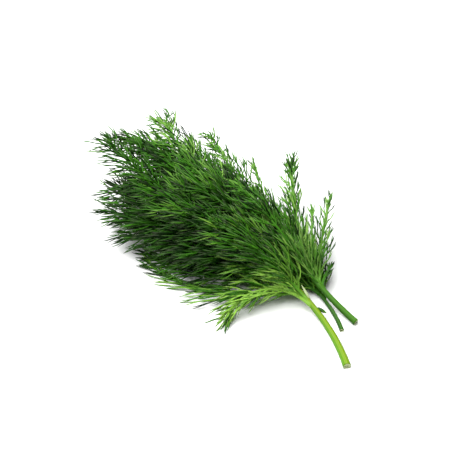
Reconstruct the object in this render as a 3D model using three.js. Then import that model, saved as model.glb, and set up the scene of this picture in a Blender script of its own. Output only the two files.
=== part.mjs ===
// A bunch of fresh dill lying on its side: three cut stems, and the feathery fronds that grow from
// each. Every stem and every frond is a solid of its own. Millimetres, +Z up. The cut ends point
// to +X and the frond tips to -X. The origin is on the surface the bunch lies on, under its middle.
import * as THREE from "three";

// ---- Driving dimensions ------------------------------------------------------------------------

const crown = new THREE.Vector3(56.3, -2.7, 0); // the place where the fronds fan out, from the origin

// Each stem is one smooth curve from its cut end to its growing tip, measured from the crown.
// The front stem sinks 0.3 into the surface at its cut end, which is where its flat spot comes from.
const stems = {
  front: { cut: [60, -27.2, 1.9], bend: [13.5, 4.6, 0.5], tip: [-48, -12, 23], radius: [2.4, 1.0] },
  back: { cut: [41, 3.9, 1.9], bend: [3.2, 3.7, 9], tip: [-50, 14, 28], radius: [2.1, 0.9] },
  middle: { cut: [38.6, -7.2, 1.2], bend: [14.5, 9.4, 1.5], tip: [-42, 10, 9], radius: [1.4, 0.7] },
};

// at: where the frond leaves its stem, from 0 at the cut end to 1 at the tip.
// heading: degrees from -X towards +Y, at the frond's root and at its tip. pitch: degrees above level.
// length: root to tip. reach: length of its longest side branch.
const fronds = [
  { on: "front", at: 0.53, heading: [-14, -110], pitch: [18, -34], length: 63, reach: 18 },
  { on: "front", at: 0.593, heading: [-54, 4], pitch: [-3, -10], length: 112, reach: 17 },
  { on: "front", at: 0.62, heading: [-32, -13], pitch: [-2, -9], length: 112, reach: 19 },
  { on: "front", at: 0.66, heading: [-20, -27], pitch: [13, -12], length: 126, reach: 22 },
  { on: "front", at: 0.73, heading: [-16, -27], pitch: [13, -4], length: 130, reach: 25 },
  { on: "front", at: 0.83, heading: [-17, -8], pitch: [11, -6], length: 130, reach: 25 },
  { on: "front", at: 0.93, heading: [-21, 11], pitch: [22, 0], length: 141, reach: 24 },
  { on: "front", at: 0.57, heading: [-8, -18], pitch: [32, 6], length: 98, reach: 25 },
  { on: "front", at: 0.78, heading: [2, -10], pitch: [28, -4], length: 152, reach: 25 },
  { on: "back", at: 0.93, heading: [-8, -2], pitch: [18, -8], length: 126, reach: 24 },
  { on: "back", at: 0.86, heading: [-23, 36], pitch: [26, -6], length: 136, reach: 23 },
  { on: "back", at: 0.79, heading: [2, 18], pitch: [12, -1], length: 122, reach: 22 },
  { on: "back", at: 0.7, heading: [4, 25], pitch: [27, -6], length: 122, reach: 15 },
  { on: "back", at: 0.66, heading: [4, 25], pitch: [9, 2], length: 98, reach: 17 },
  { on: "back", at: 0.61, heading: [12, 38], pitch: [14, 4], length: 100, reach: 10 },
  { on: "back", at: 0.54, heading: [25, 55], pitch: [24, -4], length: 98, reach: 13 },
  { on: "back", at: 0.48, heading: [34, 54], pitch: [38, 12], length: 50, reach: 9 },
  { on: "back", at: 0.45, heading: [48, 62], pitch: [22, 6], length: 69, reach: 12 },
  { on: "back", at: 0.41, heading: [60, 84], pitch: [18, 8], length: 15, reach: 7 },
  { on: "back", at: 0.52, heading: [-2, 0], pitch: [44, 10], length: 80, reach: 19 },
  { on: "middle", at: 0.56, heading: [-19, -19], pitch: [-2, -4], length: 116, reach: 22 },
  { on: "middle", at: 0.66, heading: [-14, -23], pitch: [-3, -3], length: 136, reach: 25 },
  { on: "middle", at: 0.78, heading: [-3, -9], pitch: [4, -2], length: 138, reach: 25 },
  { on: "middle", at: 0.72, heading: [8, 8], pitch: [1, -8], length: 116, reach: 25 },
  { on: "middle", at: 0.6, heading: [14, 22], pitch: [7, -1], length: 92, reach: 17 },
  { on: "middle", at: 0.53, heading: [24, 32], pitch: [-1, -8], length: 60, reach: 20 },
  { on: "middle", at: 0.455, heading: [38, 38], pitch: [2, -10], length: 44, reach: 12 },
  { on: "middle", at: 0.52, heading: [-12, -5], pitch: [17, 8], length: 104, reach: 24 },
  { on: "middle", at: 0.63, heading: [-4, -6], pitch: [24, 2], length: 132, reach: 25 },
];

const stemSides = 8;
const stemRings = 14;
const ribRadius = [1.1, 0.45]; // a frond's midrib, at its root and near its tip
const petioleShare = 0.17; // the bare share of a midrib, before its first side branches
const lastPair = 0.93; // of the midrib's length, where the last side branches would be
const pairSpacing = 11; // between pairs of side branches, along the midrib
const pairSocket = 1.7; // length of midrib that a pair of side branches grows from
const branchRadius = 0.6;
const branchLean = [40, 25]; // degrees between branch and midrib, at the first pair and the last
const branchSteps = 6;
const branchBend = 0.4; // the share of its lean that a branch loses from root to tip
const branchShares = [1, 0.72, 0.5]; // of its full length, tried in turn until a branch is clear
const branchTurns = [0, 18, -18, 36, -36, 54, -54]; // degrees, tried in turn at each length
const branchRoll = 34; // degrees that a branch may turn out of its frond's plane
const mostRoll = 66; // degrees out of that plane that a branch is turned at most, to get clear
const whorlSpacing = 7; // between whorls of needles, along a side branch
const whorlSocket = 1.3; // length of branch that a whorl grows from
const whorlAngles = [150, 270, 30]; // degrees round the branch, of the needles in a whorl
const needleLength = 11.5;
const needleLean = 31; // degrees between needle and branch
const needleLeanSpread = 7;
const needleShares = [1, 0.7]; // of its full length, tried in turn until a needle is clear
const needleTurns = [0, -8, 10, 20]; // degrees more lean, tried in turn at each length
const needleRadius = 0.3;
const rootGap = 0.45; // a frond's root stands this clear of its stem's skin
const leastSlant = 0.25; // a limb that the surface presses closer along its parent than this is left out
const clearance = 0.4; // between anything and its neighbours
const settling = 1.2; // a limb that comes this near the surface bends to lie along it

const leftSide = 1; // of a square midrib, counted round from its top
const rightSide = 3;

const greens = { stem: 0x8fae35, front: 0x2f6b1e, back: 0x3a7a26, middle: 0x1f5216 };

// ---- Directions and curves ---------------------------------------------------------------------

const { degToRad, lerp } = THREE.MathUtils;
const vector = (x, y, z) => new THREE.Vector3(x, y, z);
const mix = (range, t) => lerp(range[0], range[1], t);
const golden = (Math.sqrt(5) - 1) / 2;

// An even scatter over -1 to 1 without a random draw: multiples of the golden ratio, wrapped round.
const scatter = (k) => 2 * ((k * golden) % 1) - 1;

// The unit direction with this heading from -X towards +Y, and this pitch above level.
function aim(heading, pitch) {
  const h = degToRad(heading);
  const p = degToRad(pitch);
  return vector(-Math.cos(h) * Math.cos(p), Math.sin(h) * Math.cos(p), Math.sin(p));
}

// The point raised to this height over the surface where it would be lower, and eased into that
// over the last stretch above it.
function settle(point, height) {
  const over = point.z - height;
  if (over >= settling) return point;
  const eased = over > -settling ? (over + settling) ** 2 / (4 * settling) : 0;
  return point.setZ(height + eased);
}

// The part of a vector that is square to a direction, at unit length.
const squareTo = (v, direction) => v.clone().addScaledVector(direction, -v.dot(direction)).normalize();

// How far a limb stands off a direction, as a share of its own length from root to tip.
function slantOf(root, tip, direction) {
  const whole = tip.clone().sub(root);
  return whole.clone().projectOnPlane(direction).length() / whole.length();
}

// A step of this length that leans by an angle from one direction towards another square to it.
function leaning(along, outward, angle, length) {
  const step = along.clone().multiplyScalar(Math.cos(angle));
  return step.addScaledVector(outward, Math.sin(angle)).multiplyScalar(length);
}

// The frame at a place on a limb: along it, across it, and over it, right-handed.
function frameAt(along, over) {
  const across = over.clone().cross(along).normalize();
  return { along, across, over: along.clone().cross(across) };
}

const stemCurve = ({ cut, bend, tip }) =>
  new THREE.QuadraticBezierCurve3(...[cut, bend, tip].map((p) => vector(...p)));

// ---- Keeping clear -----------------------------------------------------------------------------

// How near two straight rods come to each other, from axis to axis.
function gapBetween(a, b) {
  const u = a.to.clone().sub(a.from);
  const v = b.to.clone().sub(b.from);
  const w = a.from.clone().sub(b.from);
  const [uu, uv, vv, uw, vw] = [u.dot(u), u.dot(v), v.dot(v), u.dot(w), v.dot(w)];
  const spread = uu * vv - uv * uv;
  const clamp01 = (x) => Math.min(1, Math.max(0, x));
  let s = spread > 1e-9 ? clamp01((uv * vw - vv * uw) / spread) : 0;
  const t = clamp01((uv * s + vw) / vv);
  s = clamp01((uv * t - uw) / uu);
  return w.addScaledVector(u, s).addScaledVector(v, -t).length();
}

// All the rods laid so far. A rod is { from, to, radius, limb }, and touches only its own limbs.
const cellSize = 8;
const cells = new Map();

function cellsOf({ from, to, radius }) {
  const low = from.clone().min(to).addScalar(-radius - clearance);
  const high = from.clone().max(to).addScalar(radius + clearance);
  const keys = [];
  const step = (value) => Math.floor(value / cellSize);
  for (let i = step(low.x); i <= step(high.x); i++)
    for (let j = step(low.y); j <= step(high.y); j++)
      for (let k = step(low.z); k <= step(high.z); k++) keys.push(`${i},${j},${k}`);
  return keys;
}

function lay(rods) {
  for (const rod of rods)
    for (const key of cellsOf(rod)) {
      if (!cells.has(key)) cells.set(key, []);
      cells.get(key).push(rod);
    }
}

function isClear(rods, ownLimbs) {
  return rods.every((rod) =>
    cellsOf(rod).every((key) =>
      (cells.get(key) ?? []).every(
        (other) =>
          ownLimbs.includes(other.limb) || gapBetween(rod, other) > rod.radius + other.radius + clearance,
      ),
    ),
  );
}

const rodsAlong = (points, radius, limb) =>
  points.slice(1).map((to, i) => ({ from: points[i], to, radius, limb }));

// ---- Planning the limbs ------------------------------------------------------------------------

// The line of a frond's midrib. It starts beside its stem and turns steadily from its first
// heading and pitch to its last.
function planRib(frond) {
  const stem = stems[frond.on];
  const curve = stemCurve(stem);
  const along = curve.getTangent(frond.at);
  const outward = squareTo(aim(frond.heading[0], frond.pitch[0]), along);
  const standOff = mix(stem.radius, frond.at) + ribRadius[0] + rootGap;
  const point = curve.getPoint(frond.at).addScaledVector(outward, standOff);
  const steps = 48;
  const underside = (t) => mix(ribRadius, t) * Math.SQRT1_2;
  const points = [settle(point.clone(), underside(0))];
  for (let i = 0; i < steps; i++) {
    const t = (i + 0.5) / steps;
    point.addScaledVector(aim(mix(frond.heading, t), mix(frond.pitch, t)), frond.length / steps);
    points.push(settle(point.clone(), underside(t)));
  }
  return { line: new THREE.CatmullRomCurve3(points), length: frond.length };
}

// Where on a midrib its pairs of side branches grow, as shares of its length.
function pairPlaces(frond) {
  const count = Math.max(2, Math.round((frond.length * (1 - petioleShare)) / pairSpacing));
  return Array.from({ length: count }, (_, i) => lerp(petioleShare, lastPair, (i + 0.2) / (count - 0.2)));
}

// A side branch's length: nearly full at the first pair, longest at the second, short at the last.
function branchLength(frond, place) {
  const t = (place - petioleShare) / (1 - petioleShare);
  return frond.reach * Math.min(1, 0.8 + 1.5 * t) * Math.pow(1 - t, 0.6);
}

// A side branch bends forward as it goes out. It is turned further out of its frond's plane, or made
// shorter, until it is clear of everything laid before but its rib and its twin on the rib's other
// side. If it never is, the frond grows without it.
function planBranch({ rib, side, length, lean, seed, limb, twin }) {
  const root = rib.across.clone().multiplyScalar(side * rib.radius).add(rib.point);
  for (const share of branchShares)
    for (const turn of branchTurns) {
      const wanted = branchRoll * scatter(seed) + turn;
      if (Math.abs(wanted) > mostRoll) continue;
      const roll = degToRad(wanted);
      const outward = rib.across
        .clone()
        .multiplyScalar(side * Math.cos(roll))
        .addScaledVector(rib.over, Math.sin(roll));
      const point = root.clone();
      const points = [root];
      const step = (length * share) / branchSteps;
      for (let i = 0; i < branchSteps; i++) {
        const angle = degToRad(lean * (1 - (branchBend * (i + 0.5)) / branchSteps));
        point.add(leaning(rib.along, outward, angle, step));
        points.push(settle(point.clone(), branchRadius));
      }
      const rods = rodsAlong(points, branchRadius, limb);
      const pressed = slantOf(root, points.at(-1), rib.along) < leastSlant;
      if (pressed || !isClear(rods, [rib.limb, twin])) continue;
      const line = new THREE.CatmullRomCurve3(points);
      return { line, length: length * share, over: rib.over, rods, limb };
    }
  return null;
}

// Where on a side branch its whorls of three needles grow, as shares of its length.
function whorlPlaces(length) {
  const count = Math.max(1, Math.round((length - 6) / whorlSpacing));
  return Array.from({ length: count }, (_, i) => (i + 0.75) / (count + 0.6));
}

// The tip of a straight needle that grows from a place on a branch, out of the side that faces
// this way, or null where none fits clear of its neighbours.
function planNeedle(point, along, facing, seed, limb) {
  const root = point.clone().addScaledVector(facing, branchRadius / 2);
  const full = needleLength * (1 + 0.2 * scatter(seed));
  for (const share of needleShares)
    for (const turn of needleTurns) {
      const lean = degToRad(needleLean + needleLeanSpread * scatter(seed + 1) + turn);
      const tip = settle(leaning(along, facing, lean, share * full).add(root), needleRadius);
      const from = root.clone().lerp(tip, 0.1);
      const rod = { from, to: tip, radius: needleRadius, limb: `${limb}/${seed}` };
      if (slantOf(root, tip, along) > leastSlant && isClear([rod], [limb])) {
        lay([rod]);
        return tip;
      }
    }
  return null;
}

// ---- Skins -------------------------------------------------------------------------------------

// One closed skin of triangles. A limb is a row of rings, and a triangle of its side that is left
// open is the socket that another limb grows from.
class Skin {
  points = [];
  faces = [];

  add(point) {
    return this.points.push(vector(point.x, point.y, Math.max(0, point.z))) - 1;
  }

  // Corners round a limb, counted from across it towards over it.
  ring(centre, { across, over }, radius, sides, firstAngle) {
    return Array.from({ length: sides }, (_, k) => {
      const angle = firstAngle + (2 * Math.PI * k) / sides;
      const corner = centre.clone().addScaledVector(across, radius * Math.cos(angle));
      return this.add(corner.addScaledVector(over, radius * Math.sin(angle)));
    });
  }

  // The sides between two rings, each split into two halves. Each side in open leaves its first half
  // as a socket, and a side in mirrored is split along its other diagonal.
  band(lower, upper, open = [], mirrored = []) {
    const sockets = {};
    lower.forEach((a, side) => {
      const next = (side + 1) % lower.length;
      const [b, c, d] = [lower[next], upper[next], upper[side]];
      const [first, second] = mirrored.includes(side) ? [[a, b, d], [b, c, d]] : [[a, b, c], [a, c, d]];
      if (open.includes(side)) sockets[side] = first;
      else this.faces.push(first);
      this.faces.push(second);
    });
    return sockets;
  }

  // A point drawn out from a ring or a socket.
  spike(ring, tip) {
    const apex = this.add(tip);
    ring.forEach((corner, k) => this.faces.push([corner, ring[(k + 1) % ring.length], apex]));
  }

  // A flat end across a ring, facing back along its limb.
  cap(ring) {
    for (let k = 1; k < ring.length - 1; k++) this.faces.push([ring[0], ring[k + 1], ring[k]]);
  }

  geometry() {
    const places = this.faces.flat().flatMap((corner) => this.points[corner].toArray());
    const geometry = new THREE.BufferGeometry();
    geometry.setAttribute("position", new THREE.Float32BufferAttribute(places, 3));
    geometry.computeVertexNormals();
    return geometry;
  }
}

// The ring counted from the corner that makes the least twist between a socket and it.
function untwisted(skin, socket, ring) {
  const twist = (turn) =>
    socket.reduce(
      (sum, corner, k) => sum + skin.points[corner].distanceToSquared(skin.points[ring[(k + turn) % 3]]),
      0,
    );
  const turn = [0, 1, 2].sort((a, b) => twist(a) - twist(b))[0];
  return ring.map((_, k) => ring[(k + turn) % 3]);
}

function stemSkin(stem) {
  const skin = new Skin();
  const curve = stemCurve(stem);
  const halfSide = Math.PI / stemSides;
  let last = null;
  for (let i = 0; i < stemRings; i++) {
    const t = i / stemRings;
    const frame = frameAt(curve.getTangent(t), vector(0, 0, 1));
    const ring = skin.ring(curve.getPoint(t), frame, mix(stem.radius, t), stemSides, halfSide);
    if (last) skin.band(last, ring);
    else skin.cap(ring);
    last = ring;
  }
  skin.spike(last, curve.getPoint(1));
  return skin;
}

// A side branch of three sides, grown from its socket, with a whorl of needles at each place.
function growBranch(skin, socket, branch) {
  const halfSocket = whorlSocket / 2 / branch.length;
  let last = socket;
  for (const whorl of branch.whorls) {
    const [lower, upper] = [whorl.place - halfSocket, whorl.place + halfSocket].map((t) =>
      skin.ring(branch.line.getPointAt(t), whorl.frame, branchRadius * (1 - 0.3 * t), 3, Math.PI / 2),
    );
    const start = last === socket ? untwisted(skin, socket, lower) : lower;
    skin.band(last, start);
    const open = [0, 1, 2].filter((side) => whorl.needles[side]);
    const sockets = skin.band(lower, upper, open);
    for (const side of open) skin.spike(sockets[side], whorl.needles[side]);
    last = upper;
  }
  skin.spike(last, branch.line.getPointAt(1));
}

// A frond: a square midrib, with pairs of side branches growing from its two edges.
function frondSkin(plan) {
  const skin = new Skin();
  const { line, length } = plan.rib;
  const ringAt = (t) => {
    const frame = frameAt(line.getTangentAt(t), vector(0, 0, 1));
    return skin.ring(line.getPointAt(t), frame, mix(ribRadius, t), 4, Math.PI / 4);
  };
  let last = ringAt(0);
  skin.cap(last);
  for (const t of [petioleShare / 3, (2 * petioleShare) / 3]) {
    const ring = ringAt(t);
    skin.band(last, ring);
    last = ring;
  }
  for (const pair of plan.pairs) {
    const lower = ringAt(pair.place - pairSocket / 2 / length);
    const upper = ringAt(pair.place + pairSocket / 2 / length);
    skin.band(last, lower);
    const open = [leftSide, rightSide].filter((side) => pair.branches[side]);
    const sockets = skin.band(lower, upper, open, [rightSide]);
    for (const side of open) growBranch(skin, sockets[side], pair.branches[side]);
    last = upper;
  }
  skin.spike(last, line.getPointAt(1));
  return skin;
}

// ---- The bunch ---------------------------------------------------------------------------------

for (const [name, stem] of Object.entries(stems))
  lay(rodsAlong(stemCurve(stem).getPoints(24), stem.radius[0], `stem ${name}`));

const plans = fronds.map((frond, index) => {
  const rib = { ...planRib(frond), limb: `rib ${index}` };
  const rods = rodsAlong(rib.line.getPoints(24), ribRadius[0], rib.limb);
  const clear = isClear(rods.slice(1), [`stem ${frond.on}`]);
  if (!clear) console.warn(`the midrib of frond ${index} is not clear`);
  lay(rods);
  return { frond, rib };
});

plans.forEach((plan, index) => {
  const { frond, rib } = plan;
  const places = pairPlaces(frond);
  plan.pairs = places.map((place, pairIndex) => {
    const t = (place - petioleShare) / (1 - petioleShare);
    const frame = frameAt(rib.line.getTangentAt(place), vector(0, 0, 1));
    const point = rib.line.getPointAt(place);
    const at = { ...frame, point, radius: mix(ribRadius, place), limb: rib.limb };
    const branches = {};
    for (const [side, sign] of [[leftSide, -1], [rightSide, 1]]) {
      const [limb, twin] = [sign, -sign].map((half) => `branch ${index}/${pairIndex}/${half}`);
      branches[side] = planBranch({
        rib: at,
        side: sign,
        length: branchLength(frond, place),
        lean: mix(branchLean, t),
        seed: index * 31 + pairIndex * 2 + side,
        limb,
        twin,
      });
      if (branches[side]) lay(branches[side].rods);
    }
    return { place, branches };
  });
});

plans.forEach(({ pairs }, index) =>
  pairs.forEach(({ branches }, pairIndex) =>
    Object.values(branches).filter(Boolean).forEach((branch, side) => {
      branch.whorls = whorlPlaces(branch.length).map((place, whorlIndex) => {
        const frame = frameAt(branch.line.getTangentAt(place), branch.over);
        const needles = whorlAngles.map((angle, k) => {
          const facing = frame.across.clone().multiplyScalar(Math.cos(degToRad(angle)));
          facing.addScaledVector(frame.over, Math.sin(degToRad(angle)));
          const seed = index * 97 + pairIndex * 23 + side * 11 + whorlIndex * 5 + k;
          return planNeedle(branch.line.getPointAt(place), frame.along, facing, seed, branch.limb);
        });
        return { place, frame, needles };
      });
    }),
  ),
);

const material = (color) => new THREE.MeshStandardMaterial({ color, roughness: 0.55, metalness: 0 });
const materials = {};
for (const [name, color] of Object.entries(greens)) materials[name] = material(color);

const bunch = new THREE.Group();
bunch.position.copy(crown);

function addMesh(name, skin, finish) {
  const mesh = new THREE.Mesh(skin.geometry(), materials[finish]);
  mesh.name = name;
  bunch.add(mesh);
}

for (const [name, stem] of Object.entries(stems)) addMesh(`stem_${name}`, stemSkin(stem), "stem");

const counts = {};
for (const plan of plans) {
  const { on } = plan.frond;
  counts[on] = (counts[on] ?? 0) + 1;
  addMesh(`frond_${on}_${counts[on]}`, frondSkin(plan), on);
}

export default bunch;
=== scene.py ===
import math

import bpy
import numpy as np
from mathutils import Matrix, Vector


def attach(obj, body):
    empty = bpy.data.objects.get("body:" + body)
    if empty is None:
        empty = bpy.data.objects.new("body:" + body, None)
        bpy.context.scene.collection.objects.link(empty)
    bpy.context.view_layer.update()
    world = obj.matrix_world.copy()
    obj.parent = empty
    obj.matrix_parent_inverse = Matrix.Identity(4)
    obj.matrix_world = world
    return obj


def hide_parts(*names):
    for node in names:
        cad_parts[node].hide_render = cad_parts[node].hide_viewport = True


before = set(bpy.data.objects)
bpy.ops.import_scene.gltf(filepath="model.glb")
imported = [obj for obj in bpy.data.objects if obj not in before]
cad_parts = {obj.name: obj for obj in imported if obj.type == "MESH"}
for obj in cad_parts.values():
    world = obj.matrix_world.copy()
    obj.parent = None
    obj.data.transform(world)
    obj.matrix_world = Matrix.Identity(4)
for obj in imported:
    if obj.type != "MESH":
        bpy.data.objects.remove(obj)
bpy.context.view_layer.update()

# A bunch of fresh dill lying on its side. The shapes are worked out in millimetres from the crown,
# where the fronds fan out, and become metres when a mesh is made. Cut ends point to +X, tips to -X.

mm = 0.001
crown = np.array([56.3, -2.7, 0.0])   # from the origin, on the surface
print("frame loaded:", len(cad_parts), "solids")


# The camera, the floor and the light.

camera = {
    "azimuth": 45.0,        # degrees, 0 looks along +Y
    "elevation": 45.0,      # degrees above the surface
    "distance": 0.760,      # from the target, metres
    "width": 0.320,         # of the view at the target, metres
    "target": (-0.0215, 0.0048, 0.0),
    "sensor": 36.0,
    "clip": (0.05, 20.0),
}

azimuth, elevation = math.radians(camera["azimuth"]), math.radians(camera["elevation"])
backward = Vector((
    math.sin(azimuth) * math.cos(elevation),
    -math.cos(azimuth) * math.cos(elevation),
    math.sin(elevation),
))
cameraData = bpy.data.cameras.new("camera")
cameraData.sensor_width = camera["sensor"]
cameraData.lens = camera["sensor"] * camera["distance"] / camera["width"]
cameraData.clip_start, cameraData.clip_end = camera["clip"]
cameraObject = bpy.data.objects.new("camera", cameraData)
cameraObject.location = Vector(camera["target"]) + backward * camera["distance"]
cameraObject.rotation_euler = (-backward).to_track_quat("-Z", "Y").to_euler()
bpy.context.scene.collection.objects.link(cameraObject)
bpy.context.scene.camera = cameraObject

light = {
    "sky": (1.0, 1.0, 1.0),     # soft light from all round
    "skyStrength": 0.05,
    "sun": (-0.42, -0.16, 1.0),   # from the bunch towards the light
    "sunSize": 72.0,            # degrees across, which softens the shadow
    "sunStrength": 7.0,
    "floor": (0.93, 0.93, 0.93),
    "floorRoughness": 0.9,
    "floorSpecular": 0.1,
    "floorSize": 6.0,
}


def nodeIn(tree, kind, **settings):   # a new node in the tree, with its settings
    node = tree.nodes.new(kind)
    for key, value in settings.items():
        setattr(node, key, value)
    return node


world = bpy.data.worlds.new("softSky")
world.use_nodes = True
worldTree = world.node_tree
glow = worldTree.nodes["Background"]
glow.inputs["Color"].default_value = (*light["sky"], 1.0)
glow.inputs["Strength"].default_value = light["skyStrength"]
backdrop = nodeIn(worldTree, "ShaderNodeBackground")   # what is seen past the floor's far edge
backdrop.inputs["Color"].default_value = (*light["sky"], 1.0)
seen = nodeIn(worldTree, "ShaderNodeLightPath")
either = nodeIn(worldTree, "ShaderNodeMixShader")
worldTree.links.new(seen.outputs["Is Camera Ray"], either.inputs["Fac"])
worldTree.links.new(glow.outputs["Background"], either.inputs[1])
worldTree.links.new(backdrop.outputs["Background"], either.inputs[2])
worldTree.links.new(either.outputs["Shader"], worldTree.nodes["World Output"].inputs["Surface"])
bpy.context.scene.world = world

lampData = bpy.data.lights.new("sun", "SUN")
lampData.angle = math.radians(light["sunSize"])
lampData.energy = light["sunStrength"]
lamp = bpy.data.objects.new("sun", lampData)
lamp.rotation_euler = Vector(light["sun"]).to_track_quat("Z", "Y").to_euler()
bpy.context.scene.collection.objects.link(lamp)

bpy.context.scene.view_settings.view_transform = "Standard"
bpy.context.scene.view_settings.look = "None"

half = light["floorSize"] / 2
floorCorners = [(-half, -half, 0), (half, -half, 0), (half, half, 0), (-half, half, 0)]
floorMesh = bpy.data.meshes.new("floor")
floorMesh.from_pydata(floorCorners, [], [(0, 1, 2, 3)])
floor = bpy.data.objects.new("floor", floorMesh)
floorFinish = bpy.data.materials.new("paleFloor")
floorFinish.use_nodes = True
floorShader = floorFinish.node_tree.nodes["Principled BSDF"]
floorShader.inputs["Base Color"].default_value = (*light["floor"], 1.0)
floorShader.inputs["Roughness"].default_value = light["floorRoughness"]
floorShader.inputs["Specular IOR Level"].default_value = light["floorSpecular"]
floorMesh.materials.append(floorFinish)
bpy.context.scene.collection.objects.link(floor)
print("camera, floor and light set")


# The bunch's skeleton: the same stem curves and midribs as its solids have.

stems = {
    "front": {"cut": (60, -27.2, 1.9), "bend": (13.5, 4.6, 0.5), "tip": (-48, -12, 23), "radius": (2.4, 1.0)},
    "back": {"cut": (41, 3.9, 1.9), "bend": (3.2, 3.7, 9), "tip": (-50, 14, 28), "radius": (2.1, 0.9)},
    "middle": {"cut": (38.6, -7.2, 1.2), "bend": (14.5, 9.4, 1.5), "tip": (-42, 10, 9), "radius": (1.4, 0.7)},
}

# at: where the frond leaves its stem, from 0 at the cut end to 1 at the tip. heading: degrees from -X
# towards +Y, at the root and at the tip. pitch: degrees above level. length: of the midrib. reach: of the
# longest side branches. tone: 0 deep green, 1 yellow-green; it is partly the frond's own green and partly
# painted light and shade, deeper for fronds that lie low or in the bunch's hollows, lighter for those on top.
# fill: 1 is a full frond, less an airy one. sprigs: small leafy branches on its stalk. open: how far the
# limbs lean out, and plume: how long the limbs round its tip are, both as a share of the usual, which is 1
# where a row leaves them out.
fronds = [
    {"on": "front", "at": 0.53, "heading": (-14, -110), "pitch": (18, -34), "length": 63, "reach": 18,
     "tone": 0.88, "fill": 0.8, "sprigs": 4},
    {"on": "front", "at": 0.593, "heading": (-54, 4), "pitch": (-3, -10), "length": 112, "reach": 17,
     "tone": 0.40, "fill": 0.5, "sprigs": 4, "open": 0.5},
    {"on": "front", "at": 0.62, "heading": (-32, -13), "pitch": (-2, -9), "length": 112, "reach": 19,
     "tone": 0.30, "fill": 1.0, "sprigs": 4},
    # painted shade: the next two fronds get the deepest tones for the shaded hollow they lie in
    {"on": "front", "at": 0.66, "heading": (-20, -27), "pitch": (13, -12), "length": 126, "reach": 22,
     "tone": 0.11, "fill": 1.0, "sprigs": 4},
    {"on": "front", "at": 0.73, "heading": (-16, -27), "pitch": (13, -4), "length": 130, "reach": 25,
     "tone": 0.14, "fill": 1.0, "sprigs": 5},
    {"on": "front", "at": 0.83, "heading": (-17, -8), "pitch": (11, -6), "length": 130, "reach": 25,
     "tone": 0.22, "fill": 1.2, "sprigs": 6, "open": 1.35},
    {"on": "front", "at": 0.93, "heading": (-21, 11), "pitch": (22, 0), "length": 141, "reach": 24,
     "tone": 0.26, "fill": 1.1, "sprigs": 6, "open": 1.25},
    {"on": "front", "at": 0.57, "heading": (-8, -18), "pitch": (32, 6), "length": 98, "reach": 25,
     "tone": 0.22, "fill": 0.9, "sprigs": 12},
    {"on": "front", "at": 0.78, "heading": (2, -10), "pitch": (28, -4), "length": 152, "reach": 25,
     "tone": 0.23, "fill": 1.1, "sprigs": 7},
    {"on": "back", "at": 0.93, "heading": (-8, -2), "pitch": (18, -8), "length": 126, "reach": 24,
     "tone": 0.30, "fill": 0.9, "sprigs": 6},
    {"on": "back", "at": 0.86, "heading": (-23, 36), "pitch": (26, -6), "length": 136, "reach": 23,
     "tone": 0.46, "fill": 0.95, "sprigs": 6, "open": 1.2, "plume": 2.4},
    {"on": "back", "at": 0.79, "heading": (2, 18), "pitch": (12, -1), "length": 122, "reach": 22,
     "tone": 0.32, "fill": 1.0, "sprigs": 6, "open": 1.15},
    {"on": "back", "at": 0.7, "heading": (4, 25), "pitch": (27, -6), "length": 122, "reach": 15,
     "tone": 0.42, "fill": 1.0, "sprigs": 7, "open": 1.15, "plume": 1.6},
    {"on": "back", "at": 0.66, "heading": (4, 25), "pitch": (9, 2), "length": 98, "reach": 17,
     "tone": 0.34, "fill": 0.9, "sprigs": 10},
    {"on": "back", "at": 0.61, "heading": (12, 38), "pitch": (14, 4), "length": 100, "reach": 10,
     "tone": 0.54, "fill": 0.3, "sprigs": 9, "plume": 2.0},
    {"on": "back", "at": 0.54, "heading": (25, 55), "pitch": (24, -4), "length": 98, "reach": 13,
     "tone": 0.50, "fill": 1.2, "sprigs": 14, "open": 0.82, "plume": 2.4},
    {"on": "back", "at": 0.48, "heading": (34, 54), "pitch": (38, 12), "length": 50, "reach": 9,
     "tone": 0.54, "fill": 0.25, "sprigs": 7, "open": 0.72},
    {"on": "back", "at": 0.45, "heading": (48, 62), "pitch": (22, 6), "length": 69, "reach": 12,
     "tone": 0.52, "fill": 0.75, "sprigs": 6, "open": 0.82, "plume": 2.0},
    {"on": "back", "at": 0.41, "heading": (60, 84), "pitch": (18, 8), "length": 15, "reach": 7,
     "tone": 0.20, "fill": 0.5, "sprigs": 0},
    {"on": "back", "at": 0.52, "heading": (-2, 0), "pitch": (44, 10), "length": 80, "reach": 19,
     "tone": 0.30, "fill": 0.9, "sprigs": 14},
    {"on": "middle", "at": 0.56, "heading": (-19, -19), "pitch": (-2, -4), "length": 116, "reach": 22,
     "tone": 0.14, "fill": 1.0, "sprigs": 4},
    {"on": "middle", "at": 0.66, "heading": (-14, -23), "pitch": (-3, -3), "length": 136, "reach": 25,
     "tone": 0.14, "fill": 1.0, "sprigs": 5},
    {"on": "middle", "at": 0.78, "heading": (-3, -9), "pitch": (4, -2), "length": 138, "reach": 25,
     "tone": 0.16, "fill": 1.0, "sprigs": 6, "plume": 2.8},
    {"on": "middle", "at": 0.72, "heading": (8, 8), "pitch": (1, -8), "length": 116, "reach": 25,
     "tone": 0.16, "fill": 1.0, "sprigs": 6},
    {"on": "middle", "at": 0.6, "heading": (14, 22), "pitch": (7, -1), "length": 92, "reach": 17,
     "tone": 0.20, "fill": 0.7, "sprigs": 10, "open": 0.75},
    {"on": "middle", "at": 0.53, "heading": (24, 32), "pitch": (-1, -8), "length": 60, "reach": 20,
     "tone": 0.30, "fill": 0.9, "sprigs": 14},
    {"on": "middle", "at": 0.455, "heading": (38, 38), "pitch": (2, -10), "length": 44, "reach": 12,
     "tone": 0.42, "fill": 0.9, "sprigs": 12},
    {"on": "middle", "at": 0.52, "heading": (-12, -5), "pitch": (17, 8), "length": 104, "reach": 24,
     "tone": 0.20, "fill": 1.0, "sprigs": 10},
    {"on": "middle", "at": 0.63, "heading": (-4, -6), "pitch": (24, 2), "length": 132, "reach": 25,
     "tone": 0.24, "fill": 1.0, "sprigs": 10, "plume": 2.4},
]

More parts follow.
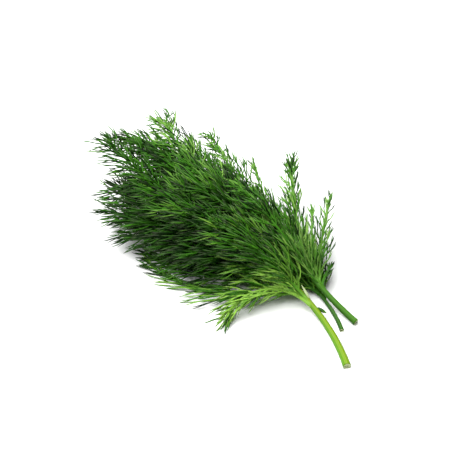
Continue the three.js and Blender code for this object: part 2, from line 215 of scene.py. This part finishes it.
growth = {
    "settling": 1.2,        # a limb that comes this near the surface bends to lie along it, mm
    "bowFrom": 40,          # limbs that grow higher than this droop more, mm
    "bowOver": 20,          # and reach the most droop this much further up
    "bowMost": 0.4,
    "fanFrom": -2,          # the heading, in degrees, that needles fan out along straight ahead of the crown
    "fanTimes": 2.0,        # and what each degree of bearing from the crown adds to it
    "fanBetween": (-60, 50),   # the least and the most heading
    "fanPitch": -6,         # degrees above level
    "fanShare": 1.2,        # how much of the fan's way is added to the midrib's own
    "following": (0.7, 0.3),   # a path's direction is this much of the step it is on and of the one before
}
upward = np.array([0.0, 0.0, 1.0])
tiny = 1e-12          # the least length a vector is divided by
nearlyAll = 0.9999    # the last share of a path that still has a step after it


def unit(v):   # each vector divided by its own length
    return v / np.maximum(np.linalg.norm(v, axis=-1, keepdims=True), tiny)


def mix(pair, t):   # from the first value to the second as t goes from 0 to 1
    return pair[0] + (pair[1] - pair[0]) * t


def aim(heading, pitch):
    # turned by the heading from -X towards +Y, then raised by the pitch: the heading's cosine, negated, and
    # its sine, both times the cosine of the pitch, and for z the sine of the pitch
    h, p = np.broadcast_arrays(np.radians(heading), np.radians(pitch))
    return np.stack([-np.cos(h) * np.cos(p), np.sin(h) * np.cos(p), np.sin(p)], -1)


def settle(points, height):
    # z is never less than the height. Within the settling distance of it, either way, z is the height plus
    # the square of how far the point is above it and that distance together, over four times the distance
    near = growth["settling"]
    over = points[..., 2] - height
    eased = np.where(over > -near, (over + near) ** 2 / (4 * near), 0.0)
    z = np.where(over < near, height + eased, points[..., 2])
    return np.concatenate([points[..., :2], z[..., None]], -1)


def stemPoint(stem, t):
    # the cut end times the square of what is left, plus the bend times twice what is left and what is done,
    # plus the tip times the square of what is done
    t = np.asarray(t, float)[..., None]
    cut, bend, tip = (np.array(stem[k], float) for k in ("cut", "bend", "tip"))
    return (1 - t) ** 2 * cut + 2 * t * (1 - t) * bend + t * t * tip


def stemAlong(stem, t):   # that curve's direction: from cut to bend and from bend to tip, mixed by t
    t = np.asarray(t, float)[..., None]
    cut, bend, tip = (np.array(stem[k], float) for k in ("cut", "bend", "tip"))
    return unit((1 - t) * (bend - cut) + t * (tip - bend))


# Limbs: paths that grow from other paths, and skins round them.

def placeOn(paths, share):
    # the point at a share of each path, straight between its steps, and the direction there: so much of this
    # step's direction and so much of the one before
    last = paths.shape[1] - 1
    f = np.clip(share, 0, nearlyAll) * last
    i = f.astype(int)
    n = np.arange(len(paths))
    step = paths[n, i + 1] - paths[n, i]
    before = paths[n, i] - paths[n, np.maximum(i - 1, 0)]
    now, earlier = growth["following"]
    return paths[n, i] + step * (f - i)[:, None], unit(unit(step) * now + unit(before) * earlier)


def grow(parent, which, share, look, length, lean, roll, sway, steps, toward=None):
    # each step goes along the parent by the cosine of the lean and outward by its sine, and the lean eases
    # off by the step's share. Sideways sway, the pull toward a way and the droop are added in step with that
    # share. Outward is turned by roll from across the parent. The points are the running sum of the steps.
    root, along = placeOn(parent["path"][which], share)
    across = unit(np.cross(parent["over"][which], along))
    over = np.cross(along, across)
    outward = across * np.cos(roll)[:, None] + over * np.sin(roll)[:, None]
    side = np.cross(along, outward)
    s = (np.arange(steps) + 0.5) / steps
    angle = (lean[:, None] * (1 - look["ease"] * s))[..., None]
    height = np.clip((root[:, 2] - growth["bowFrom"]) / growth["bowOver"], 0, 1)
    droop = look["droop"] + growth["bowMost"] * height
    heading = np.cos(angle) * along[:, None] + np.sin(angle) * outward[:, None]
    heading = heading + (sway[:, None] * s)[..., None] * side[:, None]
    heading = heading - (droop[:, None] * s)[..., None] * upward
    if toward is not None:
        heading = heading + look["pull"] * s[None, :, None] * toward[:, None]
    walk = unit(heading) * (length / steps)[:, None, None]
    path = root[:, None] + np.concatenate([np.zeros_like(root)[:, None], np.cumsum(walk, 1)], 1)
    return {"path": settle(path, look["radius"]), "over": over, "length": length}


def sweep(path, over, radius, sides):
    # a ring of corners round each step: the point, plus the radius times the cosine of the turn one way and
    # its sine the other way, both square to the path. A flat cap closes the root, one point closes the tip.
    count, steps, _ = path.shape
    along = unit(np.gradient(path, axis=1))
    first = unit(np.cross(over[:, None], along))
    second = np.cross(along, first)
    turn = 2 * np.pi * np.arange(sides) / sides
    ring = np.cos(turn)[:, None] * first[:, :-1, None] + np.sin(turn)[:, None] * second[:, :-1, None]
    rings = path[:, :-1, None] + radius[:, :-1, None, None] * ring
    points = np.concatenate([rings.reshape(count, (steps - 1) * sides, 3), path[:, -1:]], 1)
    k = np.arange(sides)
    end = (steps - 2) * sides
    tipFaces = np.stack([end + k, end + (k + 1) % sides, np.full(sides, end + sides)], -1)
    capFaces = np.stack([np.zeros(sides - 2, int), k[2:], k[1:-1]], -1)
    start = (np.arange(count) * points.shape[1])[:, None, None]
    share = np.concatenate([np.repeat(np.linspace(0, 1, steps)[:-1], sides), [1.0]])
    return {
        "points": points.reshape(-1, 3),
        "quads": (bands(steps - 1, sides)[None] + start).reshape(-1, 4),
        "triangles": (np.concatenate([tipFaces, capFaces])[None] + start).reshape(-1, 3),
        "along": np.tile(share, count),
        "around": np.tile(np.concatenate([np.tile(k / sides, steps - 1), [0.5]]), count),
        "each": points.shape[1],
    }


def bands(rings, sides):   # a four-cornered face between each two corners of a ring and those of the next
    i, k = np.arange(rings - 1)[:, None], np.arange(sides)
    after = (k + 1) % sides
    corners = [i * sides + k, i * sides + after, (i + 1) * sides + after, (i + 1) * sides + k]
    return np.stack(corners, -1).reshape(-1, 4)


def joined(skins):   # several skins as one, each with its corners counted on from those before
    start = np.cumsum([0] + [len(s["points"]) for s in skins[:-1]])
    whole = {k: np.concatenate([s[k] for s in skins]) for k in ("points", "along", "around", "tone")}
    whole["quads"] = np.concatenate([s["quads"] + n for s, n in zip(skins, start)])
    whole["triangles"] = np.concatenate([s["triangles"] + n for s, n in zip(skins, start)])
    return whole


mapEnds = (0.01, 0.99)   # the map stays a little inside its square


def meshOf(name, skin, toneWidth):
    # the points moved to the crown and kept above the surface, with the OFBake map: across it the tone, plus
    # the tone width times the share of the way round, and up it the share of the limb's length
    mesh = bpy.data.meshes.new(name)
    corners = np.concatenate([skin["quads"].ravel(), skin["triangles"].ravel()]).astype(np.int32)
    quadCount, triangleCount = len(skin["quads"]), len(skin["triangles"])
    starts = np.concatenate([np.arange(quadCount) * 4, quadCount * 4 + np.arange(triangleCount) * 3])
    mesh.vertices.add(len(skin["points"]))
    points = np.concatenate([skin["points"][:, :2], np.maximum(skin["points"][:, 2:], 0)], 1)
    mesh.vertices.foreach_set("co", ((points + crown) * mm).astype(np.float32).ravel())
    mesh.loops.add(len(corners))
    mesh.loops.foreach_set("vertex_index", corners)
    mesh.polygons.add(quadCount + triangleCount)
    mesh.polygons.foreach_set("loop_start", starts.astype(np.int32))
    mesh.update(calc_edges=True)
    mesh.shade_smooth()
    across = np.clip(skin["tone"] + toneWidth * (skin["around"] - 0.5), *mapEnds)
    up = mix(mapEnds, skin["along"])
    layer = mesh.uv_layers.new(name="OFBake")
    layer.uv.foreach_set("vector", np.stack([across, up], -1)[corners].astype(np.float32).ravel())
    return mesh


def addPiece(name, mesh, finishes, node):   # a mesh as a piece of the bunch, in place of its solid
    piece = bpy.data.objects.new(name, mesh)
    for finish in finishes:
        mesh.materials.append(finish)
    bpy.context.scene.collection.objects.link(piece)
    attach(piece, "root")
    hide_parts(node)


# The greens. Tint picks a green from deep through middle to light, and a limb's tip takes on a share of
# the tip's colour over its outer half.

tipBlend = {"from": 0.45, "most": 0.55}   # where along a limb it starts, and how much at the very tip
middleTint = 0.5


def herbToneGroup():
    # color = deep to middle over the tint's lower half and on to light over its upper half, then mixed with
    # the tip's colour by a smooth step along the limb
    group = bpy.data.node_groups.new("herbTone", "ShaderNodeTree")
    for name in ("Tint", "Along"):
        group.interface.new_socket(name, in_out="INPUT", socket_type="NodeSocketFloat")
    for name in ("Deep", "Middle", "Light", "Tip"):
        group.interface.new_socket(name, in_out="INPUT", socket_type="NodeSocketColor")
    group.interface.new_socket("Color", in_out="OUTPUT", socket_type="NodeSocketColor")
    inside, outside = nodeIn(group, "NodeGroupInput"), nodeIn(group, "NodeGroupOutput")
    low = nodeIn(group, "ShaderNodeMapRange")
    low.inputs["From Max"].default_value = middleTint
    high = nodeIn(group, "ShaderNodeMapRange")
    high.inputs["From Min"].default_value = middleTint
    first = nodeIn(group, "ShaderNodeMix", data_type="RGBA")
    second = nodeIn(group, "ShaderNodeMix", data_type="RGBA")
    paler = nodeIn(group, "ShaderNodeMix", data_type="RGBA")
    tipShare = nodeIn(group, "ShaderNodeMapRange", interpolation_type="SMOOTHSTEP")
    tipShare.inputs["From Min"].default_value = tipBlend["from"]
    tipShare.inputs["To Max"].default_value = tipBlend["most"]
    link = group.links.new
    link(inside.outputs["Tint"], low.inputs["Value"])
    link(inside.outputs["Tint"], high.inputs["Value"])
    link(low.outputs["Result"], first.inputs["Factor"])
    link(inside.outputs["Deep"], first.inputs["A"])
    link(inside.outputs["Middle"], first.inputs["B"])
    link(high.outputs["Result"], second.inputs["Factor"])
    link(first.outputs["Result"], second.inputs["A"])
    link(inside.outputs["Light"], second.inputs["B"])
    link(inside.outputs["Along"], tipShare.inputs["Value"])
    link(tipShare.outputs["Result"], paler.inputs["Factor"])
    link(second.outputs["Result"], paler.inputs["A"])
    link(inside.outputs["Tip"], paler.inputs["B"])
    link(paler.outputs["Result"], outside.inputs["Color"])
    return group


herbTone = herbToneGroup()


def herbFinish(name, look):   # the herb tone of the OFBake map, as the base colour of one shader
    finish = bpy.data.materials.new(name)
    finish.use_nodes = True
    tree = finish.node_tree
    shader = tree.nodes["Principled BSDF"]
    shader.inputs["Roughness"].default_value = look["roughness"]
    shader.inputs["Specular IOR Level"].default_value = look["specular"]
    place = nodeIn(tree, "ShaderNodeUVMap", uv_map="OFBake")
    split = nodeIn(tree, "ShaderNodeSeparateXYZ")
    tone = nodeIn(tree, "ShaderNodeGroup", node_tree=herbTone)
    for colour in ("Deep", "Middle", "Light", "Tip"):
        tone.inputs[colour].default_value = (*look[colour], 1.0)
    tree.links.new(place.outputs["UV"], split.inputs["Vector"])
    tree.links.new(split.outputs["X"], tone.inputs["Tint"])
    tree.links.new(split.outputs["Y"], tone.inputs["Along"])
    tree.links.new(tone.outputs["Color"], shader.inputs["Base Color"])
    return finish


needleLook = {
    # the three finishes differ partly in the fronds' own greens and partly as painted light and shade: the
    # middle fronds, lying lowest, are deepest, the back ones, higher up, a little lighter
    "front": {"Deep": (0.002, 0.015, 0.001), "Middle": (0.044, 0.182, 0.009), "Light": (0.256, 0.480, 0.064)},
    "back": {"Deep": (0.003, 0.020, 0.002), "Middle": (0.056, 0.212, 0.013), "Light": (0.256, 0.470, 0.090)},
    "middle": {
        "Deep": (0.002, 0.009, 0.001), "Middle": (0.025, 0.118, 0.005), "Light": (0.215, 0.430, 0.055),
    },
}
needleShared = {"Tip": (0.088, 0.112, 0.060), "roughness": 0.38, "specular": 0.08}
needleFinishes = {}
for on, greens in needleLook.items():
    needleFinishes[on] = herbFinish(f"needles_{on}", {**greens, **needleShared})
print("finishes made")


# The fronds: a stalk and midrib, side branches in pairs, needles on them and forks on the needles.

frondShape = {
    "rib": {
        "radius": (1.1, 0.45),   # at its root and near its tip
        "sides": 10,
        "steps": 48,
        "petiole": 0.17,         # the bare share of it
        "rootGap": 0.45,         # between the solid's root and the stem
        "lie": math.sqrt(0.5),   # of its radius, how high its middle lies on the surface
        "tipPower": 6,           # its radius loses this power of the way along
        "lighter": (0.16, 0.12),     # than the frond's needles, at its root and its tip
        "lightest": 0.92,
        "toneFrom": 0.3,         # where it starts to turn from the one to the other, and over how long
        "toneOver": 0.5,
    },
    "sheath": {                  # the part of the stalk that clasps the stem
        "length": 10,
        "stemLength": 120,       # about a stem's
        "sunk": 0.45,            # its foot's distance from the stem's middle, as a share of the stem's radius
        "pull": 0.4,             # on the curve's two ends, as a share of the length
        "steps": 8,
        "bulge": 0.55,           # as a share of the rib's radius
        "foot": 0.35,            # how thick it starts, as a share of the same
        "widening": 2.5,         # and how fast it gets its full width
        "tone": {"front": 0.88, "back": 0.52, "middle": 0.40},   # where the stalk meets the stem
        "toneReach": {"front": 0.30, "back": 0.14, "middle": 0.14},
    },
    "pairs": {"spacing": 11, "start": 0.2, "last": 0.93},   # the main side branches'
    "branch": {
        "radius": 0.6, "thinning": (0.6, 1.5), "sides": 5, "steps": 8,
        "lean": (40, 25), "leanVaries": 0.15, "roll": 30, "swayVaries": 0.25, "ease": 0.4, "droop": 0.0,
        "lengthVaries": 0.12,
        "lengthAtRoot": 0.8,     # as a share of the reach
        "lengthGain": 1.5,       # and how fast it gets its full length along the midrib
        "betweenLength": 0.85,   # of the extra pairs between the main ones, as a share of the usual
        "betweenTurn": 0.85,     # and how far they turn out of the frond's plane, radians
        "lighter": 0.12,         # than the needles it carries
        "toneVaries": 0.10,
        "onStalk": 0.58,         # the least tone on the bare stalk
    },
    "sprig": {                   # small branches on the bare stalk
        "first": {"front": 0.0, "back": -0.14, "middle": -0.02},   # below 0 is on the sheath
        "last": 0.20,
        "length": 13, "lengthVaries": 0.3,
        "fullFrom": 16,          # they are shorter on a frond with less reach than this
        "lean": 46, "leanVaries": 0.2, "rise": 1.0, "turn": 0.8,
    },
    "tuft": {                    # and round the midrib's tip, their length as a share of the frond's reach
        "places": (0.72, 0.93), "count": 8, "length": 0.24, "lengthVaries": 0.3,
        "lean": 24, "leanVaries": 0.2, "rise": 0.0, "turn": 1.1,
    },
    "needle": {
        "radius": 0.46, "taper": (0.9, 1, 1, 0.95, 0.75, 0), "sides": 3,
        "spacing": 3.4, "shares": (0.08, 0.98), "count": (1, 16),
        "length": 25, "lengthVaries": 0.25, "shorter": 0.3,   # towards its branch's end
        "ofParent": 0.6, "ofReach": 0.36,   # its greatest length, as shares of the branch and of the reach
        "lean": 28, "leanVaries": 0.3, "rollVaries": 1.0, "swayVaries": 0.35,
        "ease": 0.9, "droop": 0.22, "pull": 0.70,
        "pullEases": 2,          # the pull is divided by this power of how open the frond is
        "toneVaries": (0.24, 0.5),   # on its own, and times the frond's tone
    },
    "fork": {
        "radius": 0.40, "taper": (0.9, 1, 0.95, 0.75, 0), "sides": 3,
        "spacing": 13.0, "shares": (0.15, 0.65), "count": (0, 3),
        "length": 15.0, "lengthVaries": 0.3, "shorter": 0.3, "ofParent": 0.8, "ofReach": 0,
        "lean": 17, "leanVaries": 0.3, "rollVaries": 1.2, "swayVaries": 0.35,
        "ease": 0.8, "droop": 0.22, "pull": 0.45, "pullEases": 0,
        "toneVaries": (0.10, 0),
    },
}


def ribPath(frond):
    # the midrib: the running sum of steps whose heading and pitch go evenly from root to tip. Before it comes
    # the stalk: a cubic curve that starts along the stem, a little lower down, and ends along the midrib.
    stem, look, sheath = stems[frond["on"]], frondShape["rib"], frondShape["sheath"]
    along = stemAlong(stem, frond["at"])
    facing = aim(frond["heading"][0], frond["pitch"][0])
    outward = unit(facing - along * (facing @ along))
    standOff = mix(stem["radius"], frond["at"]) + look["radius"][0] + look["rootGap"]
    start = stemPoint(stem, frond["at"]) + outward * standOff
    t = (np.arange(look["steps"]) + 0.5) / look["steps"]
    walk = aim(mix(frond["heading"], t), mix(frond["pitch"], t)) * frond["length"] / look["steps"]
    points = start + np.concatenate([np.zeros((1, 3)), np.cumsum(walk, 0)])
    height = mix(look["radius"], np.concatenate([[0], t])) * look["lie"]
    points = settle(points, height)
    foot = stemPoint(stem, frond["at"] - sheath["length"] / sheath["stemLength"])
    foot = foot + outward * mix(stem["radius"], frond["at"]) * sheath["sunk"]
    s = np.linspace(0, 1, sheath["steps"] + 1)[:-1, None]
    pull = sheath["length"] * sheath["pull"]
    stalk = (1 - s) ** 3 * foot + 3 * (1 - s) ** 2 * s * (foot + along * pull)
    before = points[0] - unit(points[1] - points[0]) * pull
    stalk = stalk + 3 * (1 - s) * s * s * before + s ** 3 * points[0]
    return stalk, points


def ribSkin(frond, stalk, rib):
    # radius: even from root to tip, times one less a high power of the way along. The stalk starts thin at
    # its foot and bulges by a sine that dies out upwards. The tone goes from the sheath's to a little over
    # the needles'.
    look, sheath, tone = frondShape["rib"], frondShape["sheath"], frond["tone"]
    t = np.linspace(0, 1, len(rib))
    s = np.linspace(0, 1, len(stalk))
    clasp = look["radius"][0] * (1 + sheath["bulge"] * np.sin(np.pi * s) * (1 - s))
    clasp = clasp * (sheath["foot"] + (1 - sheath["foot"]) * np.minimum(1, sheath["widening"] * s))
    radius = np.concatenate([clasp, mix(look["radius"], t) * (1 - t ** look["tipPower"])])[None]
    skin = sweep(np.concatenate([stalk, rib])[None], upward[None], radius, look["sides"])
    ends = [min(tone + more, look["lightest"]) for more in look["lighter"]]
    upper = mix(ends, np.clip((skin["along"] - look["toneFrom"]) / look["toneOver"], 0, 1))
    lower = np.clip(skin["along"] / sheath["toneReach"][frond["on"]], 0, 1)
    skin["tone"] = mix((sheath["tone"][frond["on"]], upper), lower)
    return skin


def pairPlaces(frond):   # the main pairs' even shares of the midrib, and one more pair between each two
    bare, pairs = frondShape["rib"]["petiole"], frondShape["pairs"]
    count = max(2, round(frond["length"] * (1 - bare) / pairs["spacing"]))
    steps = np.arange(2 * count - 1) / 2 + pairs["start"]
    return bare + (pairs["last"] - bare) * steps / (count - pairs["start"])


def vary(draw, most, count):   # even random values from minus the most to the most
    return draw.uniform(-most, most, count)


def branchPlan(frond, draw):
    # for each side branch its share of the midrib, its length, lean and roll. The length goes by the square
    # root of what is left of the midrib, and the lean evenly from root to tip. All vary evenly, both ways.
    # Sprigs on the stalk and a tuft at the tip come after the pairs.
    look, openness = frondShape["branch"], frond.get("open", 1.0)
    bare = frondShape["rib"]["petiole"]
    places = np.repeat(pairPlaces(frond), 2)
    n = len(places)
    number = np.arange(n)
    side = np.where(number % 2 == 0, -1.0, 1.0)
    between = (number // 2) % 2 == 1   # these turn up and down out of the frond's plane
    s = (places - bare) / (1 - bare)
    length = frond["reach"] * np.minimum(1, look["lengthAtRoot"] + look["lengthGain"] * s) * (1 - s) ** 0.5
    length = length * (1 + vary(draw, look["lengthVaries"], n)) / min(openness, 1.0) ** 0.5
    length = np.where(between, look["betweenLength"] * frond["fill"] * length, length)
    lean = np.radians(mix(look["lean"], s)) * (1 + vary(draw, look["leanVaries"], n)) * openness
    roll = np.radians(vary(draw, look["roll"], n))
    roll = roll + np.where(between, look["betweenTurn"] * draw.choice([-1, 1, 1], n), 0)
    sprig, tuft = dict(frondShape["sprig"]), dict(frondShape["tuft"])
    sprig["places"] = (sprig["first"][frond["on"]], sprig["last"])
    sprig["count"] = frond["sprigs"]
    sprig["length"] = sprig["length"] * min(1, frond["reach"] / sprig["fullFrom"])
    tuft["length"] = tuft["length"] * frond["reach"] * frond.get("plume", 1.0)
    for extra in (sprig, tuft):
        n = extra["count"]
        places = np.concatenate([places, mix(extra["places"], (np.arange(n) + 0.5) / max(n, 1))])
        side = np.concatenate([side, draw.choice([-1.0, 1.0], n)])
        length = np.concatenate([length, extra["length"] * (1 + vary(draw, extra["lengthVaries"], n))])
        leaning = np.radians(extra["lean"]) * (1 + vary(draw, extra["leanVaries"], n)) * openness
        lean = np.concatenate([lean, leaning])
        roll = np.concatenate([roll, extra["rise"] + vary(draw, extra["turn"], n)])
    return places, length, lean, np.where(side < 0, np.pi - roll, roll)


def spread(lengths, spacing, shares, counts):
    # how many children each limb has, its length over the spacing within the least and the most, and each
    # child's number and even share of the limb
    count = np.clip(np.round(lengths / spacing).astype(int), *counts)
    which = np.repeat(np.arange(len(lengths)), count)
    order = np.arange(len(which)) - np.repeat(np.cumsum(count) - count, count)
    return which, order, shares[0] + (shares[1] - shares[0]) * (order + 0.5) / count[which]


def needlesOn(parents, look, frond, parentTone, trail, draw):
    # needles left and right by turns along each parent, shorter towards its end and never longer than a
    # share of the parent's length plus a share of the frond's reach. They lean out, ease back and are pulled
    # along the trail.
    spacing = look["spacing"] / frond["fill"]
    which, order, share = spread(parents["length"], spacing, look["shares"], look["count"])
    n, openness = len(which), frond.get("open", 1.0)
    size = look["length"] * (1 - look["shorter"] * share) * (1 + vary(draw, look["lengthVaries"], n))
    size = np.minimum(size, look["ofParent"] * parents["length"][which] + look["ofReach"] * frond["reach"])
    roll = np.where(order % 2 == 0, 0.0, math.pi) + vary(draw, look["rollVaries"], n)
    lean = np.radians(look["lean"] * (1 + vary(draw, look["leanVaries"], n))) * openness
    sway = vary(draw, look["swayVaries"], n)
    pulled = {**look, "pull": look["pull"] / max(openness, 1) ** look["pullEases"]}
    trail = trail[which]
    limbs = grow(parents, which, share, pulled, size, lean, roll, sway, len(look["taper"]) - 1, trail)
    tone = parentTone[which] + vary(draw, look["toneVaries"][0] + look["toneVaries"][1] * frond["tone"], n)
    radius = np.tile(look["radius"] * np.array(look["taper"]), (n, 1))
    skin = sweep(limbs["path"], limbs["over"], radius, look["sides"])
    skin["tone"] = np.repeat(tone, skin["each"])
    return limbs, skin, tone, trail


def frondSkin(frond, seed):
    # the midrib's skin, then branches grown from it by their plan, needles from the branches and forks from
    # the needles. The way they trail is the midrib's own plus a share of a fan, whose heading grows by so
    # much for each degree of bearing from the crown.
    draw = np.random.default_rng(seed)
    look, tone, openness = frondShape["branch"], frond["tone"], frond.get("open", 1.0)
    stalk, rib = ribPath(frond)
    whole = np.concatenate([stalk, rib])[None]
    midrib = ribSkin(frond, stalk, rib)

    places, length, lean, roll = branchPlan(frond, draw)
    n = len(places)
    onWhole = (len(stalk) + places * (len(rib) - 1)) / (whole.shape[1] - 1)
    parent = {"path": whole, "over": upward[None]}
    sway = vary(draw, look["swayVaries"], n)
    branches = grow(parent, np.zeros(n, int), onWhole, look, length, lean, roll, sway, look["steps"])
    onStalk = places < frondShape["rib"]["petiole"]
    branchTone = np.where(onStalk, np.maximum(tone, look["onStalk"]), tone)
    branchTone = branchTone + vary(draw, look["toneVaries"], n)
    thinner, power = look["thinning"]
    radius = look["radius"] * (1 - thinner * np.linspace(0, 1, look["steps"] + 1) ** power)
    branchSkin = sweep(branches["path"], branches["over"], np.tile(radius, (n, 1)), look["sides"])
    branchSkin["tone"] = np.repeat(branchTone + look["lighter"], branchSkin["each"])

    ribPlace, ribWay = placeOn(np.repeat(rib[None], n, 0), places)
    bearing = np.degrees(np.arctan2(ribPlace[:, 1], -ribPlace[:, 0]))
    turned = np.clip(growth["fanFrom"] + growth["fanTimes"] * bearing, *growth["fanBetween"])
    fan = aim(turned, growth["fanPitch"])
    trail = unit(ribWay + growth["fanShare"] * min(openness, 1) ** 2 * fan)
    look = frondShape["needle"]
    needles, needleSkin, needleTone, trail = needlesOn(branches, look, frond, branchTone, trail, draw)
    forks, forkSkin, _, _ = needlesOn(needles, frondShape["fork"], frond, needleTone, trail, draw)
    limbCounts = (n, len(needles["length"]), len(forks["length"]))
    return joined([midrib, branchSkin, needleSkin, forkSkin]), limbCounts


# The stems, with their fine ribs, cut ends and leaf scales.

stemShape = {
    "girth": 1.06,        # the skin stands a little outside the solid's flat sides
    "sides": 44,          # eleven ribs along the skin, four corners each
    "ribs": 11,
    "ribHeight": 0.035,   # as a share of the radius
    "rings": 90,
    "swelling": 0.16,     # at each place where a frond leaves, as a share of the radius
    "swellingReach": 0.022,   # along the stem, as a share of its length
    "tipShare": 0.05,     # of the radius, where the stem ends
    "pithDepth": 0.7,
    # the cut end's rings are the pith's middle and edge, the wall's foot and the rim
    "cutWidths": (0.02, 0.62, 0.7, 0.9),   # as shares of the stem's radius there
    "cutDepths": (1, 1, 0.2, 0),   # as shares of the pith's depth
    "streak": 0.10,       # how much more the ribs' tone is than the mean, and the grooves' less
    "shade": 0.30,        # painted shade: how much less the tone is on the side that faces the shade's way
    "shadeWay": (-0.6, -0.8, 0.0),
    "scaleSides": 8,
    "scaleSteps": 7,
    "scaleRoot": 0.2,     # how far in the sine of a scale's radius starts
    "scales": [           # leaf scales on the skin: where they start, which way they point
        # the first is a real leaf scale, but its near-deepest tone is partly painted shade, for the shadow it
        # sits in
        {"on": "front", "at": 0.43, "from": (0.3, 1.7, 0.5), "way": (1.0, 0.14, 0.0),
         "length": 7.5, "radius": 1.25, "tone": 0.02, "pale": False},
        {"on": "front", "at": 0.50, "from": (0.0, 1.4, 0.8), "way": (-0.75, 0.06, 0.62),
         "length": 11, "radius": 0.9, "tone": 0.98, "pale": True},
    ],
}
stemLook = {
    "Deep": (0.014, 0.070, 0.004),
    "Middle": (0.062, 0.200, 0.006),
    "Light": (0.228, 0.330, 0.010),
    "Tip": (0.160, 0.344, 0.032),
    "roughness": 0.45,
    "specular": 0.15,
    "tones": {"front": 0.82, "back": 0.36, "middle": 0.18},
    "pith": (0.496, 0.576, 0.304),
    "pithRoughness": 0.75,
}


def stemSkin(name):
    # radius: even from cut end to tip, more by the ribs' height times a cosine round the stem, and more by
    # the swelling times a bell curve of the distance to the nearest frond. The rings run from a sunken pith
    # over the cut rim and up to the tip.
    stem, shape = stems[name], stemShape
    sides = shape["sides"]
    t = np.linspace(0, 1, shape["rings"] + 1)
    path = stemPoint(stem, t)
    along = stemAlong(stem, t)
    first = unit(np.cross(upward, along))
    second = np.cross(along, first)
    places = np.array([f["at"] for f in fronds if f["on"] == name])
    nearest = np.min(np.abs(t[:, None] - places[None]), 1)
    swell = 1 + shape["swelling"] * np.exp(-(nearest / shape["swellingReach"]) ** 2)
    angle = 2 * np.pi * np.arange(sides) / sides
    rib = 1 + shape["ribHeight"] * np.cos(shape["ribs"] * angle)
    radius = shape["girth"] * (mix(stem["radius"], t) * swell)[:, None] * rib
    radius[-1] *= shape["tipShare"]
    circle = np.cos(angle)[:, None] * first[:, None] + np.sin(angle)[:, None] * second[:, None]
    outer = path[:, None] + radius[..., None] * circle
    depths = np.array(shape["cutDepths"])[:, None, None]
    widths = np.array(shape["cutWidths"])[:, None, None]
    cut = path[0] + depths * (along[0] * shape["pithDepth"]) + widths * (outer[0] - path[0])
    rings = np.concatenate([cut, outer])
    # painted shade: the tone is lower on the side that faces the shade's way, as on a stem lit from the other
    # side
    facing = np.clip(circle @ np.array(shape["shadeWay"]), 0, 1)
    tone = stemLook["tones"][name] + shape["streak"] * np.cos(shape["ribs"] * angle) - shape["shade"] * facing
    tone = np.concatenate([np.repeat(tone[:1], len(cut), 0), tone])
    quads = bands(len(rings), sides)
    b = np.arange(1, sides - 1)
    rootFaces = np.stack([0 * b, b + 1, b], -1)
    tipFaces = (len(rings) - 1) * sides + np.stack([0 * b, b, b + 1], -1)
    triangles = np.concatenate([rootFaces, tipFaces])
    return {
        "points": rings.reshape(-1, 3),
        "quads": quads,
        "triangles": triangles,
        "along": np.repeat(np.concatenate([np.zeros(len(cut)), t]), sides),
        "around": np.tile(np.arange(sides) / sides, len(rings)),
        "tone": tone.ravel(),
        "pale": [np.arange(len(quads)) < (len(cut) - 1) * sides, np.arange(len(triangles)) < len(rootFaces)],
    }


def scaleSkin(scale):   # a spindle on a straight way: its radius is a sine that starts a little way in
    s = np.linspace(0, 1, stemShape["scaleSteps"] + 1)
    root = stemShape["scaleRoot"]
    way = unit(np.array(scale["way"])) * scale["length"]
    start = stemPoint(stems[scale["on"]], scale["at"]) + np.array(scale["from"])
    radius = scale["radius"] * np.sin(np.pi * (root + (1 - root) * s))
    skin = sweep((start + s[:, None] * way)[None], upward[None], radius[None], stemShape["scaleSides"])
    skin["tone"] = np.full(len(skin["points"]), scale["tone"])
    skin["pale"] = [np.full(len(skin[faces]), scale["pale"]) for faces in ("quads", "triangles")]
    return skin


def pithFinish():   # one plain pale colour
    finish = bpy.data.materials.new("stemPith")
    finish.use_nodes = True
    shader = finish.node_tree.nodes["Principled BSDF"]
    shader.inputs["Base Color"].default_value = (*stemLook["pith"], 1.0)
    shader.inputs["Roughness"].default_value = stemLook["pithRoughness"]
    return finish


stemFinishes = [herbFinish("stemSkin", stemLook), pithFinish()]
for name in stems:
    skins = [stemSkin(name)] + [scaleSkin(scale) for scale in stemShape["scales"] if scale["on"] == name]
    mesh = meshOf(f"stem_{name}_skin", joined(skins), 0.0)
    addPiece(f"stem_{name}_skin", mesh, stemFinishes, f"stem_{name}")
    paleFaces = np.concatenate([s["pale"][0] for s in skins] + [s["pale"][1] for s in skins])
    mesh.polygons.foreach_set("material_index", paleFaces.astype(np.int32))
print("stems made:", len(stems))

firstSeed = 100
toneWidth = 0.03   # round each limb, so that its sides differ a little
counts = {}
total = np.zeros(3, int)
triangleTotal = 0
for index, frond in enumerate(fronds):
    on = frond["on"]
    counts[on] = counts.get(on, 0) + 1
    name = f"frond_{on}_{counts[on]}"
    skin, limbs = frondSkin(frond, firstSeed + index)
    mesh = meshOf(name + "_leaf", skin, toneWidth)
    addPiece(name + "_leaf", mesh, [needleFinishes[on]], name)
    triangleTotal += 2 * len(skin["quads"]) + len(skin["triangles"])
    total += limbs
print("fronds made:", len(fronds), "with", triangleTotal, "triangles")
print("branches, needles and forks:", total.tolist())
